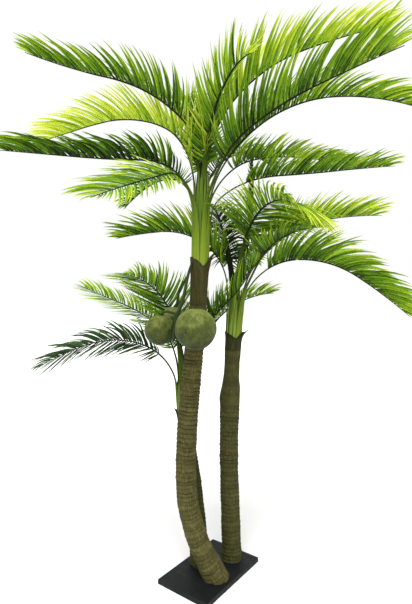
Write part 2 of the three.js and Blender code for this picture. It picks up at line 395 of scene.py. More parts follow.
def bark_material(name, dark, mid, light, groove):
    """Fibrous bark with painted shade in its grooves. The marks are the depth in a ring's groove, which
    sets that shade, and the tone of the band.
    """
    material, tree, shader = new_material(name, 0.9, Specular_IOR_Level=0.12)
    fibres = pattern(tree, 260, (1, 1, 0.18), detail=5)
    threads = pattern(tree, 90, (0.35, 0.35, 5.0), detail=3)
    patches = pattern(tree, 22, detail=3)
    base = colours(tree, fibres, [(0.28, dark), (0.5, mid), (0.74, light)])
    streaked = blend(tree, spread(tree, threads, 0.45, 0.7, 0, 0.55), base, dark)
    wear_and_painted_light = blend(tree, spread(tree, patches, 0.5, 0.72, 0, 0.4), streaked, light)
    toned = blend(tree, spread(tree, mark(tree, 1), -1, 1, 0.0, 0.5), wear_and_painted_light, dark)
    # Painted shade: the deeper the groove, the more the colour turns to groove.
    groove_shaded = blend(tree, mark(tree, 0), toned, groove)
    tree.links.new(groove_shaded, shader.inputs["Base Color"])
    height = maths(tree, "ADD", fibres, maths(tree, "MULTIPLY", threads, 0.7))
    bump(tree, shader, height, 0.0016, 0.8)
    return material


def fibre_material(name, dark, mid, light):
    """Smooth husk with fine upright fibres. The first mark is nearness to the torn rim, which darkens
    it, and is full over the inside of the collar, where that darkening is painted shade; the second is
    not read.
    """
    material, tree, shader = new_material(name, 0.85, Specular_IOR_Level=0.12)
    fibres = pattern(tree, 420, (1, 1, 0.06), detail=5)
    patches = pattern(tree, 28, (1, 1, 0.5), detail=3)
    base = colours(tree, fibres, [(0.3, dark), (0.5, mid), (0.75, light)])
    patched = blend(tree, spread(tree, patches, 0.42, 0.7, 0, 0.6), base, dark)
    # Darker toward the rim outside; over the inside of the collar this is painted shade.
    rim = blend(tree, mark(tree, 0), patched, dark)
    tree.links.new(rim, shader.inputs["Base Color"])
    bump(tree, shader, fibres, 0.0012, 0.7)
    return material


def green_material(name, edge, body, light, roughness):
    """Ribbed green of the stem's core and the fruit stalks. The second mark is how far round."""
    material, tree, shader = new_material(name, roughness, Specular_IOR_Level=0.2)
    streaks = pattern(tree, 330, (1, 1, 0.03), detail=4)
    patches = pattern(tree, 14, (1, 1, 0.4), detail=2)
    base = colours(tree, streaks, [(0.32, edge), (0.48, body), (0.72, light)])
    cloudy = blend(tree, spread(tree, patches, 0.45, 0.7, 0, 0.7), base, body)
    rimmed = blend(tree, spread(tree, mark(tree, 1), 0.6, 1.0, 0, 0.85), cloudy, edge)
    tree.links.new(rimmed, shader.inputs["Base Color"])
    bump(tree, shader, streaks, 0.0008, 0.5)
    return material


def stalk_material(name):
    """Leaf stalks: yellow green at the foot and nearly black among the leaflets. The marks are the
    share along one, and nearness to the edge of its sheath, which paints shade where sheaths overlap."""
    material, tree, shader = new_material(name, 0.6, Specular_IOR_Level=0.07)
    streaks = pattern(tree, 300, (1, 1, 0.03), detail=3)
    along = maths(tree, "ADD", mark(tree, 0), spread(tree, streaks, 0.3, 0.7, -0.05, 0.05))
    base = colours(tree, along, [(0.0, "7d8f2c"), (0.12, "718524"), (0.26, "5a6e1e"),
                                 (0.38, "3c4c14"), (0.5, "20290c"), (0.62, "151a08")])
    streaked = blend(tree, spread(tree, streaks, 0.5, 0.72, 0, 0.5), base, "3f5a16")
    # Painted shade along the edges of the sheath, where it overlaps its neighbours.
    rimmed = blend(tree, spread(tree, mark(tree, 1), 0.35, 1.0, 0, 0.9), streaked, "33490f")
    tree.links.new(rimmed, shader.inputs["Base Color"])
    bump(tree, shader, streaks, 0.0008, 0.5)
    return material


def sheath_material(name, gap, deep, pale):
    """Leaf bases. The marks are the paleness of each one, lower toward its top, and nearness to an
    edge, which paints shade into the gaps between them.
    """
    material, tree, shader = new_material(name, 0.5, Specular_IOR_Level=0.16)
    streaks = pattern(tree, 420, (1, 1, 0.03), detail=4)
    tone = maths(tree, "ADD", mark(tree, 0), spread(tree, streaks, 0.3, 0.7, -0.35, 0.35))
    base = blend(tree, spread(tree, tone, 0, 1), deep, pale)
    # Painted shade in the gaps between leaf bases, along their edges.
    rimmed = blend(tree, spread(tree, mark(tree, 1), 0.35, 1.0, 0, 0.95), base, gap)
    tree.links.new(rimmed, shader.inputs["Base Color"])
    bump(tree, shader, streaks, 0.0008, 0.5)
    return material


def coconut_material(name, dark, body, light, wear_and_painted_light):
    """Green husk: fibres from end to end, with painted light over the top and painted shade beneath,
    and pale scuffs of wear kept to the top as painted light. The marks are nearness to the stalk's
    scar, half as much at the bottom tip, and the share of the way down."""
    material, tree, shader = new_material(name, 0.62, Specular_IOR_Level=0.2)
    streaks = pattern(tree, 75, (1, 1, 0.16), detail=6)
    mottle = pattern(tree, 30, detail=5)
    chips = pattern(tree, 120, (1, 1, 0.45), detail=3)
    # Painted light and shade: pale at the top, darker all the way down.
    down = maths(tree, "ADD", mark(tree, 1), spread(tree, mottle, 0.25, 0.75, -0.4, 0.4))
    base = colours(tree, down, [(0.05, light), (0.42, body), (0.95, dark)])
    streaked = blend(tree, spread(tree, streaks, 0.52, 0.7, 0, 0.5), base, dark)
    # Pale scuffs of wear, kept to the top as painted light.
    rubbed = maths(tree, "SUBTRACT", spread(tree, chips, 0.52, 0.68, 0, 1), mark(tree, 1), clamp=True)
    scuffed = blend(tree, maths(tree, "MULTIPLY", rubbed, 0.6), streaked, wear_and_painted_light)
    capped = blend(tree, mark(tree, 0), scuffed, dark)
    tree.links.new(capped, shader.inputs["Base Color"])
    height = maths(tree, "ADD", streaks, maths(tree, "MULTIPLY", mottle, 1.6))
    bump(tree, shader, height, 0.0045, 0.8)
    return material


def board_material(name):
    """Black painted board, rubbed grey here and there and dusty."""
    material, tree, shader = new_material(name, 0.6, Specular_IOR_Level=0.2)
    cloud = pattern(tree, 9, detail=5, source=None)
    scuffs = pattern(tree, 60, (1.0, 0.16, 1.0), detail=6, source=None)
    dust = pattern(tree, 700, detail=2, source=None)
    base = colours(tree, cloud, [(0.3, "070a0b"), (0.55, "0c0f10"), (0.8, "141719")])
    scuffed = blend(tree, spread(tree, scuffs, 0.6, 0.78, 0, 0.3), base, "333536")
    dusty = blend(tree, spread(tree, dust, 0.62, 0.75, 0, 0.25), scuffed, "454642")
    tree.links.new(dusty, shader.inputs["Base Color"])
    rough = spread(tree, scuffs, 0.3, 0.8, 0.5, 0.75)
    tree.links.new(rough, shader.inputs["Roughness"])
    bump(tree, shader, dust, 0.0004, 0.35)
    return material


# Leaf colours from deepest to palest, each one plain colour, with the same colour shining through.
TINTS = ["131f06", "243a09", "3b5b0d", "547c12", "729a19", "90b223", "b2c92c", "cedb3a", "dee75e"]
# The bluer greens; the palest is a painted highlight, the whitish glint on the leaflets.
COOL_TINTS_AND_HIGHLIGHT = ["11200b", "264119", "466330", "93a97c"]
SHINES_THROUGH = 0.38


def leaf_material(name, code):
    material, tree, shader = new_material(name, 0.5, Specular_IOR_Level=0.16)
    shader.inputs["Base Color"].default_value = (*srgb(code), 1)
    through = node(tree, "BsdfTranslucent")
    through.inputs["Color"].default_value = (*srgb(code), 1)
    both = node(tree, "MixShader")
    both.inputs[0].default_value = SHINES_THROUGH
    tree.links.new(shader.outputs[0], both.inputs[1])
    tree.links.new(through.outputs[0], both.inputs[2])
    out = tree.nodes["Material Output"]
    tree.links.new(both.outputs[0], out.inputs["Surface"])
    return material


LEAVES = [leaf_material(f"leaf_green_{i}", c) for i, c in enumerate(TINTS)]
LEAVES += [leaf_material(f"leaf_cool_{i}", c) for i, c in enumerate(COOL_TINTS_AND_HIGHLIGHT)]


# ---------------------------------------------------------------- stems

ALL_HEIGHTS = 9.0
# The height of a bark band, the depth of the grooves, the height up to which it is ringed, and a
# bulge as (height, thickness, azimuth).
STEMS = {
    "tall": dict(seed=3, band=0.0170, groove=0.0032, ringed_to=ALL_HEIGHTS),
    "medium": dict(seed=5, band=0.0180, groove=0.0022, ringed_to=0.705, bulge=(0.735, 0.0065, 128)),
    "short": dict(seed=8, band=0.0180, groove=0.0022, ringed_to=ALL_HEIGHTS),
}
AROUND, ROW = 84, 0.0026  # columns of a bark mesh, and the height of its rows
BANDS = 200  # more than any stem has
GROOVE_HALF = 0.0017  # half the width of the groove between two bands
GRAIN_RADIUS = 0.04  # of the upright cylinder that patterns on a stem are worked out on


def straightened(turn, height):
    """Places on an upright cylinder, so that a pattern follows a stem that leans or bends."""
    x, y = GRAIN_RADIUS * np.cos(turn), GRAIN_RADIUS * np.sin(turn)
    return np.stack(np.broadcast_arrays(x, y, height), -1)


def bark(name, seed, band, groove, ringed_to, bulge=None):
    """A stem: bands of wrapped husk between ragged grooves, square to its line."""
    middles, radii = level_rings(f"trunk_{name}")
    along = lengths(middles)
    s = np.linspace(0, along[-1], int(along[-1] / ROW))
    centre = smooth_line(s, along, middles)
    radius = np.interp(s, along, radii)
    tangent = unit(np.gradient(centre, axis=0))
    turn = np.linspace(0, 2 * np.pi, AROUND, endpoint=False)
    out = np.stack([np.cos(turn), np.sin(turn), np.zeros(AROUND)], -1)
    base = centre[:, None] + radius[:, None, None] * out[None]
    straight = straightened(turn, s[:, None])
    axial = s[:, None] + ((base - centre[:, None]) * tangent[:, None]).sum(-1)
    axial = axial + 0.0042 * wobble(straight, 16, seed) + 0.0016 * wobble(straight, 60, seed + 1)
    draw = np.random.default_rng(seed)
    edges = np.cumsum(band * draw.uniform(0.72, 1.3, BANDS)) - 0.1
    tones = draw.uniform(-1, 1, BANDS + 1)
    proud = draw.uniform(-1, 1, BANDS + 1)
    k = np.searchsorted(edges, axial)
    below = axial - edges[np.clip(k - 1, 0, BANDS - 1)]
    above = edges[np.clip(k, 0, BANDS - 1)] - axial
    gap = np.minimum(below, above)
    share = below / np.maximum(below + above, 1e-6)
    depth = np.exp(-(gap / GROOVE_HALF) ** 2) * (0.55 + 0.9 * wobble(straight, 26, seed + 2))
    height = base[..., 2]
    depth = np.clip(depth, 0, 1) * ramp(height, [(0.02, 0.05), (0.12, 0.2), (0.3, 0.6), (0.6, 1.0)])
    ringed = np.clip((ringed_to - height) / 0.03, 0, 1)
    swell = 0.0018 * np.sin(np.pi * share) + 0.0016 * (1 - share) + 0.0009 * proud[k]
    lumps = 0.0016 * wobble(straight, 22, seed + 3) + 0.0006 * wobble(straight, 120, seed + 4)
    foot = np.exp(-((height - 0.02) / 0.09) ** 2)
    lumps = lumps + 0.006 * foot * wobble(straight, 13, seed + 5)
    push = ringed * (swell - groove * depth) + lumps
    if bulge:
        level, thickness, toward = bulge
        facing = 0.5 + 0.5 * np.cos(turn - rad(toward))
        push = push + thickness * facing * np.exp(-((height - level) / 0.045) ** 2)
        push = push - 0.6 * thickness * np.exp(-((height - level - 0.125) / 0.06) ** 2)
    points = base + push[..., None] * out[None]
    points[0, :, 2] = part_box("base_board")[1].z + 0.0003  # a level cut, just clear of the board
    marks = np.stack([ringed * depth, tones[k]], -1)
    sheets = Sheets()
    sheets.add(points, 0, straight, marks, wrap=True)
    sheets.piece(f"bark_{name}", [BARKS[name]], "bark", [f"trunk_{name}"])


# The last colour of each bark is painted shade, which fills its grooves.
BARKS = {
    "tall": bark_material("bark_tall_fibre", "323018", "504c29", "6f6a3e", "24210f"),
    "medium": bark_material("bark_medium_fibre", "2e2e15", "444323", "5b5830", "1e1e0d"),
    "short": bark_material("bark_short_fibre", "292a12", "393a1d", "4b4b29", "1b1c0c"),
}
for stem_name, stem in STEMS.items():
    bark(stem_name, **stem)


# ---------------------------------------------------------------- boots

# The torn fibrous collar on each stem. lips are (azimuth, outward, upward) in degrees and metres, and
# notch is where the rim dips and how deep.
BOOTS = {
    "tall": dict(lips=[(307, 0.016, 0.020), (150, 0.005, 0.012)], notch=(240, 0.026), seed=11),
    "medium": dict(lips=[(303, 0.030, 0.016), (130, 0.005, 0.012)], notch=(225, 0.018), seed=12),
    "short": dict(lips=[(130, 0.014, 0.024), (10, 0.008, 0.016)], notch=(230, 0.01), seed=13),
}


def turn_between(a, b):
    return (np.asarray(a) - b + 180) % 360 - 180


RIM_RADIUS, WALL = 0.0385, 0.0026  # of a collar
COLLAR_ROWS, RIM_ROWS = 34, 9  # up the outside, and back down the inside of the rim


def boot(name, lips, notch, seed):
    """The collar of one stem: up its outside to the torn rim, and back down the inside."""
    middles, radii = level_rings(f"trunk_{name}")
    foot = middles[-1]
    shaft, _ = level_rings(f"crownshaft_{name}")
    top = shaft[0]
    around = 96
    turn = np.linspace(0, 2 * np.pi, around, endpoint=False)
    azimuth = np.degrees(turn)
    out = np.stack([np.cos(turn), np.sin(turn), np.zeros(around)], -1)
    flare = sum(o * np.exp(-(turn_between(azimuth, a) / 30) ** 2) for a, o, _ in lips)
    rise = sum(u * np.exp(-(turn_between(azimuth, a) / 28) ** 2) for a, _, u in lips)
    dip = notch[1] * np.exp(-(turn_between(azimuth, notch[0]) / 27) ** 2)
    ring = out * GRAIN_RADIUS
    ragged = 0.0035 * wobble(ring, 160, seed) + 0.002 * wobble(ring, 480, seed)
    share = np.linspace(0, 1, COLLAR_ROWS)[:, None]
    centre = foot + (top - foot) * share
    rim = rise - dip + ragged
    z = foot[2] + share * (top[2] - foot[2] + rim[None])
    straight = straightened(turn, z)
    fibre = 0.0007 * wobble(straight * [1, 1, 0.08], 420, seed)
    fibre = fibre + 0.0016 * wobble(straight * [1, 1, 0.3], 60, seed + 1)
    collar = radii[-1] + (RIM_RADIUS - radii[-1]) * share
    radius = collar + flare[None] * share ** 4 + fibre
    outer = np.stack([centre[:, :1] + radius * out[None, :, 0],
                      centre[:, 1:2] + radius * out[None, :, 1], z], -1)
    inner = outer[::-1][:RIM_ROWS].copy()
    inward = np.minimum(np.arange(RIM_ROWS) / 2, 1) * WALL
    inner[..., :2] -= inward[:, None, None] * out[None, :, :2]
    inner[1, :, 2] += 0.0008
    points = np.concatenate([outer, inner])
    # Nearness to the rim outside, and full over the inside of the collar: painted shade in there.
    torn = np.concatenate([np.exp(-(z.max(0)[None] - z) / 0.012), np.ones((RIM_ROWS, around))])
    grain = np.concatenate([straight, straight[::-1][:RIM_ROWS]])
    sheets = Sheets()
    sheets.add(points, 0, grain, np.stack([torn * 0.7, torn * 0], -1), wrap=True)
    paint = fibre_material(f"boot_{name}_fibre", *BOOT_COLOURS[name])
    sheets.piece(f"husk_{name}", [paint], "boot", [f"boot_{name}"])


BOOT_COLOURS = {
    "tall": ("24230f", "3e3b1e", "56502e"),
    "medium": ("1c1c0c", "33331a", "484628"),
    "short": ("1c1e0c", "323419", "464828"),
}
for stem_name, shape in BOOTS.items():
    boot(stem_name, **shape)


# ---------------------------------------------------------------- crowns

# For each frond: depth of green (0 deep, 8 pale), partly its tint and partly painted light, since
# fronds that light shines through from behind are painted pale; how far its leaflets hang, how much
# they twist and how long they are, as a share of what the outline of the CAD blade allows.
CROWNS = {
    "tall": dict(
        upper_left=(3.6, 0.08, 10, 1.2), pale_left=(6.8, 0.08, 10, 1.35),
        low_left=(2.3, 0.2, 30, 1.35), front_left=(4.1, 0.15, 20, 1.35),
        top_right=(6.0, 0.04, 8, 0.86), front_right=(4.2, 0.06, 12, 1.0),
        long_right=(4.4, 0.10, 15, 1.0), mid_right=(4.0, 0.12, 15, 1.2),
        rear_right=(4.2, 0.10, 15, 1.0), front=(4.9, 0.08, 15, 1.1), rear_left=(3.9, 0.10, 15, 1.0),
        rear_low=(3.4, 0.15, 20, 1.0), rear_far=(3.8, 0.15, 20, 1.0)),
    "medium": dict(
        droop_right=(4.0, 0.15, 18, 1.2), pale_right=(5.1, 0.08, 15, 1.3),
        front_up=(5.1, 0.5, 20, 1.3), front_low=(3.8, 0.3, 18, 1.35), left=(3.9, 0.08, 15, 1.35),
        rear_steep=(2.2, 0.9, 30, 1.5), rear_right=(3.9, 0.15, 18, 1.2), spear=(2.2, 0.0, 15, 0.7)),
    "short": dict(
        left=(3.2, 0.2, 22, 1.3), pale_left=(4.6, 0.1, 18, 1.15), upper_left=(4.1, 0.12, 15, 1.4),
        right=(2.7, 0.1, 15, 1.15), rear_right=(4.0, 0.1, 15, 1.1), rear=(2.8, 0.15, 15, 1.0),
        rear_left=(3.4, 0.15, 18, 1.0)),
}
SPACING = 0.0130  # between leaflets on one side of a rib
# The share of that spacing on some fronds.
DENSE = {
    "medium_front_up": 0.55, "medium_front_low": 0.62, "medium_rear_steep": 0.45,
    "tall_mid_right": 0.9, "short_right": 0.75, "short_upper_left": 0.75, "short_pale_left": 0.8,
}
# How much further out the leaflets of some fronds start.
LATE = {
    "tall_mid_right": 0.05, "tall_rear_right": 0.09, "tall_long_right": 0.07,
    "tall_front_right": 0.05, "medium_front_low": 0.08, "medium_front_up": 0.11,
    "medium_droop_right": 0.03,
}
COOL = ("short_left",)  # fronds in the bluer greens
# Fronds with one row of leaflets that hangs: which row, how many degrees lower, and its length.
HANGING = {
    "tall_front_left": (1, 70, 0.6), "tall_low_left": (1, 18, 0.9), "tall_top_right": (-1, 14, 1.0),
    "medium_front_up": (1, 50, 1.2), "medium_front_low": (-1, 30, 1.0), "short_left": (1, 62, 0.85),
    "short_pale_left": (1, 66, 0.9), "short_upper_left": (1, 45, 1.0),
}
TAPER = {"tall_top_right": 0.6, "tall_mid_right": 0.85}  # how long the last leaflets are there
LEAF_ROWS = 8
LEAF_HALF = 0.0064  # half the width of a leaflet 0.2 long
LEAF_WIDTH = [(0, 0.5), (0.08, 0.8), (0.25, 1.0), (0.5, 0.88), (0.76, 0.54), (0.92, 0.22), (1, 0.03)]
# Along a leaflet the green is darker at the rib, partly its tint and partly painted shade, and pale at
# the tip. Across it, one half is painted light, the midrib is painted shade in the fold, and the other
# half is painted shade.
LEAF_TINT_AND_RIB_SHADE = [(0, -2.0), (0.25, -0.5), (0.65, 0.4), (1, 1.5)]  # steps of green, along a leaflet
FOLD_LIGHT_AND_SHADE = np.array([0.6, -1.8, -0.5])  # and across it: one side, the midrib and the other side
# Across a leaflet's strip: how far out each column is, and how far down it folds, in half widths.
LEAF_COLUMNS = ((-1, -0.42), (-0.16, 0), (0.16, 0), (1, -0.42))
TIP_ROOM = 0.022  # how far the last leaflets may pass the CAD blade's end
LEAVING = [(0, 58), (0.12, 52), (0.45, 42), (0.8, 31), (1.0, 17)]  # their angle to the rib, along it
LEAST_SIZE = [(0, 0.6), (0.1, 1), (0.6, 1.05), (1, 1.3)]  # of leaflets, in widths of the CAD blade
ALONG_LEAF = np.linspace(0, 1, LEAF_ROWS + 1)


def leaflet(start, tangent, across, lean, size, half, roll, sag, sway, hand):
    """The grid of one leaflet: a folded strip that leaves the rib outward, and hangs."""
    tau = ALONG_LEAF
    flat = np.cross(tangent, across)
    aim = np.cos(lean)[:, None] * tangent + np.sin(lean)[:, None] * across
    aim = aim + (sway * tau)[:, None] * flat
    aim = aim - (2 * sag / size * tau)[:, None] * UP
    aim = unit(aim)
    steps = (aim[1:] + aim[:-1]) / 2 * size / LEAF_ROWS
    line = start + 0.002 * across + np.concatenate([np.zeros((1, 3)), np.cumsum(steps, 0)])
    wide = unit(np.cross(flat, aim))
    thick = np.cross(aim, wide)
    turned = roll * tau
    edge = np.cos(turned)[:, None] * wide + np.sin(turned)[:, None] * thick
    lift = np.cross(aim, edge)
    w = half * ramp(tau, LEAF_WIDTH)
    columns = []
    for out, drop in LEAF_COLUMNS:
        columns.append(line + (out * w)[:, None] * edge + (drop * w)[:, None] * lift * hand)
    return np.stack(columns, 1)


def leaflet_slots(tone, cool):
    """The leaf material of each face of a leaflet: darker at the rib, partly painted shade, with
    painted shade in the fold and on one half, painted light on the other half, and pale at the tip.
    """
    zone = tone + ramp(ALONG_LEAF[:-1] + 0.5 / LEAF_ROWS, LEAF_TINT_AND_RIB_SHADE)
    index = np.clip(np.rint(zone[:, None] + FOLD_LIGHT_AND_SHADE[None]), 0, len(TINTS) - 1).astype(int)
    if cool:
        return len(TINTS) + np.minimum(index // 2, len(COOL_TINTS_AND_HIGHLIGHT) - 1)
    return index


def leaflet_sizes(f, s, angle):
    """How long leaflets at the lengths s of frond f may be, for their tips to end at the outline of
    its CAD blade."""
    size = np.full(len(s), 0.15)
    for _ in range(12):
        reach = np.interp(np.minimum(s + size * np.cos(angle), f.length), f.along, f.wide)
        size = 0.5 * size + 0.5 * np.clip(reach / np.sin(angle), 0.05, 0.36)
    return size


def leaflets(f, full, draw, sheets, depth, hang, twist, long):
    """The two rows of leaflets of frond f, whose full name is full."""
    first = f.bare - (0.13 if f.bare > 0.35 else 0.06) + LATE.get(full, 0)
    last = f.bare + 0.93 * (f.length - f.bare)
    crowd = DENSE.get(full, 1)
    low_row, lower, shorter = HANGING.get(full, (0, 0, 1))
    for hand in (-1, 1):
        count = int(1.2 * (last - first) / (SPACING * crowd))
        s = first + ((np.arange(count) + draw.uniform(0.1, 0.9)) / count) ** 1.2 * (last - first)
        s = np.clip(s + draw.normal(0, 0.0022, count), first, last)
        share = (s - first) / (last - first)
        angle = np.radians(ramp(share, LEAVING) + draw.normal(0, 3.5, count))
        size = np.maximum(leaflet_sizes(f, s, angle), 1.15 * f.half * ramp(share, LEAST_SIZE))
        size *= long * (1 + draw.normal(0, 0.06, count))
        size *= ramp(share, [(0, 1), (0.45, 1), (1, TAPER.get(full, 1))])
        size = np.minimum(size, (f.length + TIP_ROOM - s) / np.cos(angle))
        place, tangent, up = f.at(s)
        fold = np.interp(s + 0.6 * size * np.cos(angle), f.along, f.fold)
        fold = fold + np.radians(draw.normal(0, 4, count))
        if hand == low_row:
            fold = fold - rad(lower) * ramp(share, [(0, 1), (0.75, 1), (1, 0.4)])
            size = size * shorter
        bend = np.radians(draw.uniform(14, 30, count))
        roll = np.radians(draw.normal(0, twist, count)) + np.radians(6) * hand
        sag = hang * size * draw.uniform(0.6, 1.4, count)
        sway = draw.normal(0, 0.05, count)
        half = LEAF_HALF * crowd ** 0.5 * np.clip(size / 0.2, 0.6, 1.05)
        half = half * draw.uniform(0.88, 1.1, count)
        slope = 0.6 + 0.6 * max(depth - 4, 0)
        tone = depth + slope * (share - 0.5) + draw.normal(0, 0.95, count)
        for k in range(count):
            across = hand * math.cos(fold[k]) * f.side + math.sin(fold[k]) * up[k]
            lean = angle[k] + bend[k] * (0.5 - ALONG_LEAF)
            points = leaflet(place[k], tangent[k], across, lean, size[k], half[k], roll[k], sag[k],
                             sway[k], hand)
            sheets.add(points, leaflet_slots(tone[k], full in COOL))


# Half widths of a leaf stalk by the length along it, in metres, for one that clasps the stem and one
# that rises inside the crown, and the thickness of both. Those of the rib follow on from them.
CLASPING_HALF = [(-0.2, 0.0185), (-0.02, 0.0140), (0.07, 0.0105), (0.16, 0.0074)]
INNER_HALF = [(0, 0.018), (0.18, 0.0165), (0.26, 0.011), (0.33, 0.0075)]
STALK_THICKNESS = [(-0.2, 0.0030), (0.0, 0.0050), (0.12, 0.0065), (0.26, 0.0060)]
CLASP = [(-0.2, 1), (0, 1), (0.13, 0.55), (0.22, 0.12), (0.3, 0)]  # how closely it hugs the stem
FREE_PUSH = 0.0255  # how far the line of the CAD stalk already is from the stem's axis
PUSH = [(-0.2, 0.0340), (-0.1, 0.0355), (0.0, 0.0365), (0.12, 0.030), (0.3, FREE_PUSH)]
BELOW_RIM = 0.035  # how far sheaths, strips and core start below the collar's rim


def stalk(f, sheets, shaft_low, shaft_top, order, outer, stout):
    """The leaf stalk: a sheath that clasps the stem, an open stalk and the rib, as one tapering arm.
    outer ones start at the collar, and the others at the top of the crownshaft."""
    below = np.linalg.norm(shaft_top - shaft_low) + BELOW_RIM if outer else 0.0
    end = f.bare + 0.97 * (f.length - f.bare)
    s = np.concatenate([
        np.linspace(-below, 0, 12, endpoint=False) if outer else [],
        np.linspace(0, f.bare, 22, endpoint=False),
        np.linspace(f.bare, end, 34),
    ])
    place, tangent, _ = f.at(np.maximum(s, 0))
    axis = unit(shaft_top - shaft_low)
    seat = f.keel[0] - shaft_top
    azimuth = math.atan2(seat[1], seat[0])
    out = np.array([math.cos(azimuth), math.sin(azimuth), 0])
    across = np.array([-math.sin(azimuth), math.cos(azimuth), 0])
    under = (s < 0)[:, None]
    clasp = ramp(s, CLASP) if outer else 0 * s
    push = ramp(s, PUSH) + 0.0005 * order * np.clip((s + below) / 0.05, 0, 1)
    base = shaft_top + s[:, None] * axis + push[:, None] * out
    lifted = place + ((push - FREE_PUSH) * clasp)[:, None] * out
    line = np.where(under, base, lifted)
    slim = [(f.bare, 0.0066), (0.5 * (f.bare + f.length), 0.0050), (f.length, 0.0018)]
    half = ramp(s, (CLASPING_HALF if outer else INNER_HALF) + slim)
    thick = ramp(s, STALK_THICKNESS + slim)
    least = ramp(s, [(0.0, stout), (f.bare, 0.9 * stout), (f.bare + 0.08, 0.0)])
    half, thick = np.maximum(half, least), np.maximum(thick, least)
    curl = np.where(clasp > 0.01, 0.038 / np.maximum(clasp, 0.05), 4.0)
    facing = f.side * np.sign(across @ f.side + 1e-9)
    side = unit(clasp[:, None] * across + (1 - clasp[:, None]) * facing)
    tangent = np.where(under, axis, tangent)
    side = unit(side - (side * tangent).sum(-1, keepdims=True) * tangent)
    outward = np.cross(side, tangent)
    outward *= np.sign((outward * out).sum(-1, keepdims=True) + 1e-9)
    turn = np.linspace(0, 2 * np.pi, 14, endpoint=False)
    x, y = np.cos(turn), np.sin(turn)
    angle = half[:, None] * x[None] / curl[:, None]
    depth = thick[:, None] * 0.5 * y[None] * np.sqrt(np.maximum(1 - 0.5 * x**2, 0))[None]
    ring = curl[:, None] + depth
    points = (line[:, None] + (ring * np.sin(angle))[..., None] * side[:, None]
              + (ring * np.cos(angle) - curl[:, None])[..., None] * outward[:, None])
    grain = np.stack(np.broadcast_arrays(
        half[:, None] * x[None] + 0.3 * order, depth, (s + 0.3)[:, None]), -1)
    # A stalk stouter than 0.01 starts 0.3 further toward black: painted shade on that dark stalk
    # column.
    green = 0.5 * (s + 0.2) / (f.bare + 0.2) + (0.3 if stout > 0.01 else 0)
    marks = np.stack(np.broadcast_arrays(
        np.clip(green, 0, 1)[:, None], np.abs(x) ** 4 * clasp[:, None]), -1)
    sheets.add(points, 0, grain, marks, wrap=True)


BUNDLES = {"tall": 0.255, "medium": 0.12, "short": 0.09}  # how far the bundled leaf bases rise
# The least half width of some leaf stalks. One over 0.01 also takes painted shade, as a darker stalk.
STOUT = {"medium_rear_steep": 0.0155, "short_left": 0.0085, "short_pale_left": 0.0075,
         "short_upper_left": 0.0085}


LEAF_BASE_HALF = [(0, 1.1), (0.55, 0.9), (0.85, 0.6), (1, 0.1)]


def bundle(name, low, top, seed):
    """Narrow ridged leaf bases, which overlap round the stem and go on above the crownshaft."""
    draw = np.random.default_rng(seed)
    axis = unit(top - low)
    total = np.linalg.norm(top - low) + BUNDLES[name]
    sheets = Sheets()
    front, back = np.linspace(-1, 1, 9), np.linspace(0.6, -0.6, 3)
    x = np.concatenate([front, back])
    ridged = 0.0022 * (1 - x**2) + 0.0005 * np.cos(9 * x)
    lift = np.where(np.arange(len(x)) < len(front), ridged, -0.0012)
    for radius, count, shortest in ((0.0325, 12, 0.86), (0.0350, 10, 0.60)):
        for k in range(count):
            middle = 2 * np.pi * (k + draw.uniform(-0.25, 0.25)) / count
            height = total * draw.uniform(shortest, 1.0)
            s = np.linspace(-0.04, height, 24)
            share = np.clip(s / height, 0, 1)[:, None]
            half = 0.0115 * draw.uniform(0.8, 1.2) * ramp(share, LEAF_BASE_HALF)
            drift = draw.normal(0, 0.12) * share ** 2
            turn = middle + drift + half * x[None] / radius
            proud = lift[None] * ramp(share, [(0, 0.5), (0.2, 1), (1, 0.5)])
            reach = radius - 0.004 * share ** 3 + proud
            out = np.stack([np.cos(turn), np.sin(turn), 0 * turn], -1)
            points = low + s[:, None, None] * axis + reach[..., None] * out
            grain = np.stack(np.broadcast_arrays(half * x[None] + 0.2 * k, lift, s[:, None]), -1)
            tone = draw.uniform(0, 1)
            marks = np.stack(np.broadcast_arrays(tone - 0.35 * share, np.abs(x) ** 3), -1)
            sheets.add(points, 0, grain, marks, wrap=True)
    sheets.piece(f"leaf_bases_{name}", [SHEATH_PAINT], "crownshaft")


def crown(name, looks, seed):
    """One crown: its leaflets and leaf stalks, and the core and leaf bases that they rise from."""
    shaft, _ = level_rings(f"crownshaft_{name}")
    low, top = shaft[0], shaft[-1]
    blades, stalks = Sheets(), Sheets()
    nodes = []
    for k, (label, look) in enumerate(looks.items()):
        full = f"{name}_{label}"
        f = Frond(full, top)
        leaflets(f, full, np.random.default_rng(1000 * seed + k), blades, *look)
        outer = np.linalg.norm(f.keel[0] - top) > 0.018
        stalk(f, stalks, low, top, k % 5, outer, STOUT.get(full, 0))
        nodes += f.nodes
    blades.piece(f"leaflets_{name}", LEAVES, "frond", [n for n in nodes if n.startswith("frond")],
                 swatches=True)
    stalks.piece(f"stalks_{name}", [STALK_PAINT], "petiole",
                 [n for n in nodes if n.startswith("petiole")])
    core = Sheets()
    axis, height = unit(top - low), np.linalg.norm(top - low)
    s = np.linspace(0, height + BUNDLES[name], 18)
    line = low + (s[:, None] - BELOW_RIM) * axis
    beyond = np.clip((s - height) / BUNDLES[name], 0, 1)
    girth = 0.0315 - 0.014 * beyond ** 4
    tube(core, line, girth, np.broadcast_to([1.0, 0, 0], line.shape), around=40)
    core.piece(f"shaft_core_{name}", [CORE_PAINT], "crownshaft", [f"crownshaft_{name}"])
    bundle(name, low, top, 50 + seed)


STALK_PAINT = stalk_material("stalk_green")
SHEATH_PAINT = sheath_material("leaf_base_green", "26340a", "4f6816", "93a643")
CORE_PAINT = green_material("shaft_core_green", "1c270a", "29380f", "35491a", 0.7)
for seed, (stem_name, looks) in enumerate(CROWNS.items(), 21):
    crown(stem_name, looks, seed)


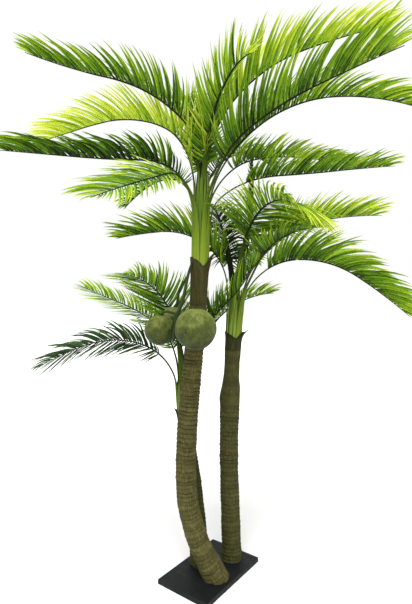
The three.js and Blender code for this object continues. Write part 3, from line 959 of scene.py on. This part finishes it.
# ---------------------------------------------------------------- coconuts and fruit stalks

COCONUTS = {  # middle, radius, half height, azimuth of a blunt ridge, seed
    "large": ((-0.194, -0.073, 1.074), 0.0835, 0.0825, 40, 31),
    "small": ((-0.199, 0.115, 1.064), 0.0685, 0.0640, 80, 32),
    "rear": ((-0.080, 0.142, 1.104), 0.0575, 0.0595, 10, 33),
}
HUSK_PAINT = coconut_material("coconut_husk", "2a3110", "4a541d", "717b38", "8b8a4c")


def coconut(name, middle, radius, half, ridge, seed):
    rows, around = 60, 96
    up = np.linspace(-np.pi / 2, np.pi / 2, rows)[:, None]
    turn = np.linspace(0, 2 * np.pi, around, endpoint=False)[None]
    ball = np.stack(np.broadcast_arrays(np.cos(up) * np.cos(turn), np.cos(up) * np.sin(turn),
                                        np.sin(up)), -1)
    ridges = 0.03 * np.cos(3 * (turn - rad(ridge))) * np.cos(up) ** 2
    lumps = 0.028 * wobble(ball, 1.8, seed) + 0.016 * wobble(ball * [1, 1, 0.5], 5, seed + 1)
    scar = 0.05 * np.exp(-((np.pi / 2 - up) / 0.16) ** 2)
    size = 0.98 + ridges + lumps - scar
    points = np.array(middle) + ball * size[..., None] * [radius, radius, half]
    grain = ball * [radius, radius, half] + seed * 0.37
    cap = np.clip(1.1 - (np.pi / 2 - up) / 0.2, 0, 1) + 0.5 * np.clip(1 - (up + np.pi / 2) / 0.12, 0, 1)
    marks = np.stack([np.broadcast_to(np.clip(cap, 0, 1), size.shape),
                      np.broadcast_to(0.5 - 0.5 * np.sin(up), size.shape)], -1)
    sheets = Sheets()
    sheets.add(points, 0, grain, marks, wrap=True)
    sheets.piece(f"husk_of_coconut_{name}", [HUSK_PAINT], "coconut", [f"coconut_{name}"])


for nut_name, shape in COCONUTS.items():
    coconut(nut_name, *shape)

# For each strand of a fruit stalk: points that it runs through, and its radius at each.
FRUIT_STALKS = {
    "fruit_stalk": [
        ([(-0.116, 0.003, 1.354), (-0.1255, 0.004, 1.338), (-0.140, 0.011, 1.290),
          (-0.168, 0.015, 1.190), (-0.190, 0.024, 1.130), (-0.204, 0.031, 1.060),
          (-0.206, 0.032, 1.030)],
         (0.004, 0.005, 0.006, 0.007, 0.008, 0.009, 0.0075)),
        ([(-0.203, 0.031, 1.062), (-0.204, 0.010, 1.098), (-0.197, -0.020, 1.118),
          (-0.194, -0.050, 1.128), (-0.194, -0.073, 1.140)],
         (0.007, 0.006, 0.006, 0.006, 0.008)),
        ([(-0.190, 0.024, 1.130), (-0.204, 0.052, 1.138), (-0.203, 0.085, 1.140),
          (-0.199, 0.115, 1.122)],
         (0.005, 0.005, 0.005, 0.008)),
        ([(-0.160, 0.014, 1.215), (-0.176, 0.020, 1.170), (-0.198, 0.036, 1.110),
          (-0.212, 0.046, 1.050), (-0.216, 0.050, 1.010)],
         (0.0025, 0.0025, 0.0025, 0.0022, 0.0015)),
    ],
    "fruit_stalk_rear": [
        ([(-0.084, 0.033, 1.345), (-0.085, 0.060, 1.292), (-0.0831, 0.1044, 1.2388),
          (-0.0822, 0.1151, 1.2003), (-0.0816, 0.1231, 1.1718), (-0.080, 0.138, 1.158)],
         (0.005, 0.005, 0.0055, 0.006, 0.0065, 0.008)),
    ],
}
FRUIT_PAINT = green_material("fruit_stalk_green", "14200b", "22330f", "3d5220", 0.5)
for label, strands in FRUIT_STALKS.items():
    sheets = Sheets()
    for line, sizes in strands:
        t = np.linspace(0, 1, 8 * len(line))
        at = np.linspace(0, 1, len(line))
        path = smooth_line(t, at, np.array(line))
        size = np.interp(t, at, sizes)
        tube(sheets, path, size, np.broadcast_to([0.3, 0.95, 0], path.shape))
    sheets.piece(f"{label}_strands", [FRUIT_PAINT], "fruit_stalk", [label])


# ---------------------------------------------------------------- camera, floor and light

CAMERA = dict(at=(-1.521, -1.128, 1.163), turn=-52.89, pitch=0.58, lens=25.63)
lens = bpy.data.cameras.new("camera")
lens.lens, lens.sensor_width, lens.sensor_fit = CAMERA["lens"], 36.0, "AUTO"
lens.clip_end = 200
camera = bpy.data.objects.new("camera", lens)
camera.location = CAMERA["at"]
camera.rotation_euler = (rad(90 + CAMERA["pitch"]), 0, rad(CAMERA["turn"]))
bpy.context.scene.collection.objects.link(camera)
bpy.context.scene.camera = camera
bpy.context.scene.view_settings.view_transform = "Standard"

world = bpy.data.worlds.new("studio")
world.use_nodes = True
world.node_tree.nodes["Background"].inputs["Color"].default_value = (1, 1, 1, 1)
world.node_tree.nodes["Background"].inputs["Strength"].default_value = 1.0
bpy.context.scene.world = world

floor_mesh = bpy.data.meshes.new("floor")
FAR = 40.0
floor_mesh.from_pydata([(-FAR, -FAR, 0), (FAR, -FAR, 0), (FAR, FAR, 0), (-FAR, FAR, 0)], [],
                       [(0, 1, 2, 3)])
floor = bpy.data.objects.new("floor", floor_mesh)
bpy.context.scene.collection.objects.link(floor)
floor_paint, _, floor_shader = new_material("floor_white", 0.9)
floor_shader.inputs["Base Color"].default_value = (0.8, 0.8, 0.8, 1)
floor_mesh.materials.append(floor_paint)

sun = bpy.data.lights.new("key", "SUN")
sun.energy, sun.angle = 3.4, rad(45)
key = bpy.data.objects.new("key", sun)
key.rotation_euler = Vector((0.66, 0.28, -1.5)).to_track_quat("-Z", "Y").to_euler()
bpy.context.scene.collection.objects.link(key)

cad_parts["base_board"].data.materials.clear()
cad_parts["base_board"].data.materials.append(board_material("board_paint"))
